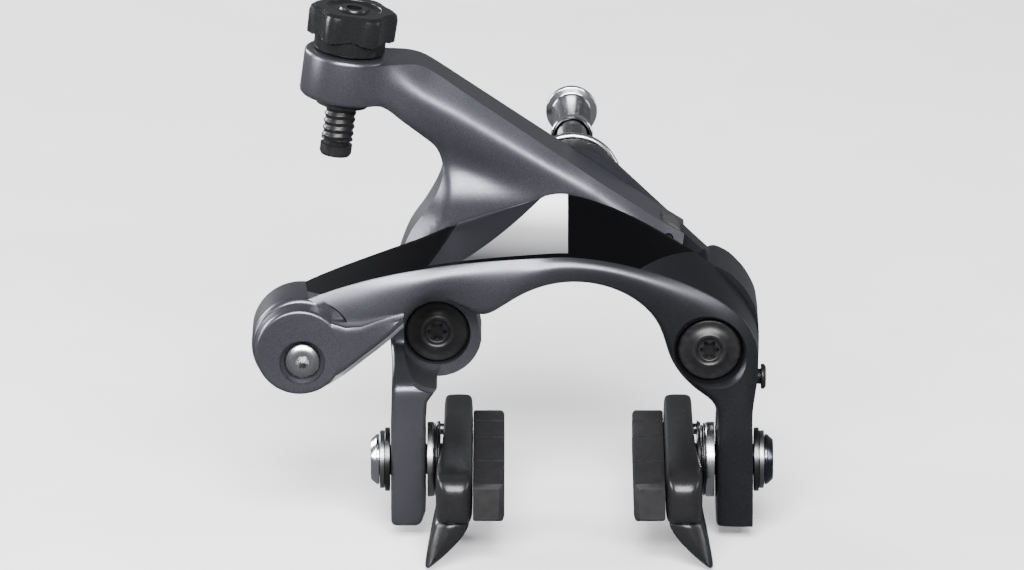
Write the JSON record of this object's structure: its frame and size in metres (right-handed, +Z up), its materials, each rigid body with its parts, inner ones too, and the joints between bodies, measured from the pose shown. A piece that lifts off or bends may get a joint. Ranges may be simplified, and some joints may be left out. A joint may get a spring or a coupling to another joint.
{
  "type": "bicycle rim brake caliper",
  "caption": "Dual-pivot road bicycle rim brake caliper with crossed grey arms, cable adjuster, quick release and cartridge brake shoes.",
  "frame": {"origin": "on the centre bolt's axis, in the rear face of the mounting washer that seats on the fork crown", "axes": "+Z up, -Y forwards (the front face of the caliper), +Y along the centre bolt into the fork, +X to the right seen from the front"},
  "size_m": [0.0973, 0.102, 0.0986],
  "materials": {
    "satin_grey": "satin",
    "dark_grey": "satin",
    "black_metal": "satin",
    "gloss_black": "gloss",
    "rubber": "matte",
    "nylon": "matte",
    "dark_steel": "satin",
    "steel": "satin"
  },
  "bodies": {
    "base": {"base_plate": "dark_grey", "center_bolt": "steel", "mounting_washer": "steel", "sleeve_nut": "dark_steel", "left_pivot_bolt": "black_metal", "right_pivot_bolt": "black_metal", "left_pivot_nut": "dark_steel", "right_pivot_nut": "dark_steel", "return_spring": "steel"},
    "front_arm": {"c_arm": "satin_grey", "right_spring_slider": "nylon"},
    "cable_arm": {"y_arm": "satin_grey", "adjuster_seal": "rubber", "roller_pin": "steel", "left_spring_slider": "nylon"},
    "quick_release": {"lever_axle": "steel", "release_lever": "satin_grey", "clamp_plate": "steel", "clamp_bolt": "dark_steel"},
    "roller": {"link_roller": "steel"},
    "centering": {"centering_screw": "black_metal"},
    "knob": {"adjuster_knob": "gloss_black"},
    "barrel": {"adjuster_barrel": "black_metal"},
    "left_clamp": {"left_inner_washer": "steel", "left_outer_washer": "dark_steel", "left_spring_washer": "steel", "left_shoe_nut": "steel"},
    "left_shoe": {"left_shoe_stud": "steel", "left_cup_washer": "dark_steel", "left_holder": "gloss_black", "left_pad": "rubber", "left_pad_screw": "steel"},
    "right_clamp": {"right_inner_washer": "steel", "right_outer_washer": "dark_steel", "right_spring_washer": "steel", "right_shoe_nut": "steel"},
    "right_shoe": {"right_shoe_stud": "steel", "right_cup_washer": "dark_steel", "right_holder": "gloss_black", "right_pad": "rubber", "right_pad_screw": "steel"}
  },
  "joints": [
    {"name": "front_arm_pivot", "type": "hinge", "parent": "base", "child": "front_arm", "pos_m": [0.0254, -0.025, -0.0239], "axis": [0, 1, 0], "range_deg": [-3, 10], "stiffness_Nm_per_rad": 3, "deforming": ["return_spring"]},
    {"name": "cable_arm_pivot", "type": "hinge", "parent": "base", "child": "cable_arm", "pos_m": [-0.0254, -0.019, -0.0239], "axis": [0, 1, 0], "range_deg": [-10, 3]},
    {"name": "release_lever_turn", "type": "hinge", "parent": "front_arm", "child": "quick_release", "pos_m": [-0.0504, -0.0238, -0.0245], "axis": [0, 1, 0], "range_deg": [0, 90]},
    {"name": "link_roller_spin", "type": "hinge", "parent": "cable_arm", "child": "roller", "pos_m": [0.0176, -0.0189, -0.006], "axis": [0, 1, 0], "continuous": true},
    {"name": "centering_screw_turn", "type": "hinge", "parent": "front_arm", "child": "centering", "pos_m": [0.035, -0.03, -0.0308], "axis": [1, 0, 0], "range_deg": [-720, 720]},
    {"name": "adjuster_turn", "type": "hinge", "parent": "cable_arm", "child": "knob", "pos_m": [-0.0424, -0.019, 0.025], "axis": [0.1305, 0, 0.9914], "range_deg": [-725, 725]},
    {"name": "barrel_travel", "type": "slide", "parent": "cable_arm", "child": "barrel", "axis": [0.1305, 0, 0.9914], "range_m": [-0.002, 0.002]},
    {"name": "left_shoe_height", "type": "slide", "parent": "cable_arm", "child": "left_clamp", "axis": [0, 0, 1], "range_m": [-0.0035, 0.0035]},
    {"name": "left_shoe_tilt", "type": "hinge", "parent": "left_clamp", "child": "left_shoe", "pos_m": [-0.0307, -0.033, -0.0461], "axis": [1, 0, 0], "range_deg": [-8, 8]},
    {"name": "right_shoe_height", "type": "slide", "parent": "front_arm", "child": "right_clamp", "axis": [0, 0, 1], "range_m": [-0.0035, 0.0035]},
    {"name": "right_shoe_tilt", "type": "hinge", "parent": "right_clamp", "child": "right_shoe", "pos_m": [0.0301, -0.033, -0.0461], "axis": [1, 0, 0], "range_deg": [-8, 8]}
  ],
  "couplings": [
    {"joint": "cable_arm_pivot", "follows": "front_arm_pivot", "ratio": -1},
    {"joint": "adjuster_turn", "follows": "barrel_travel", "rad_per_m": 6283.2}
  ]
}
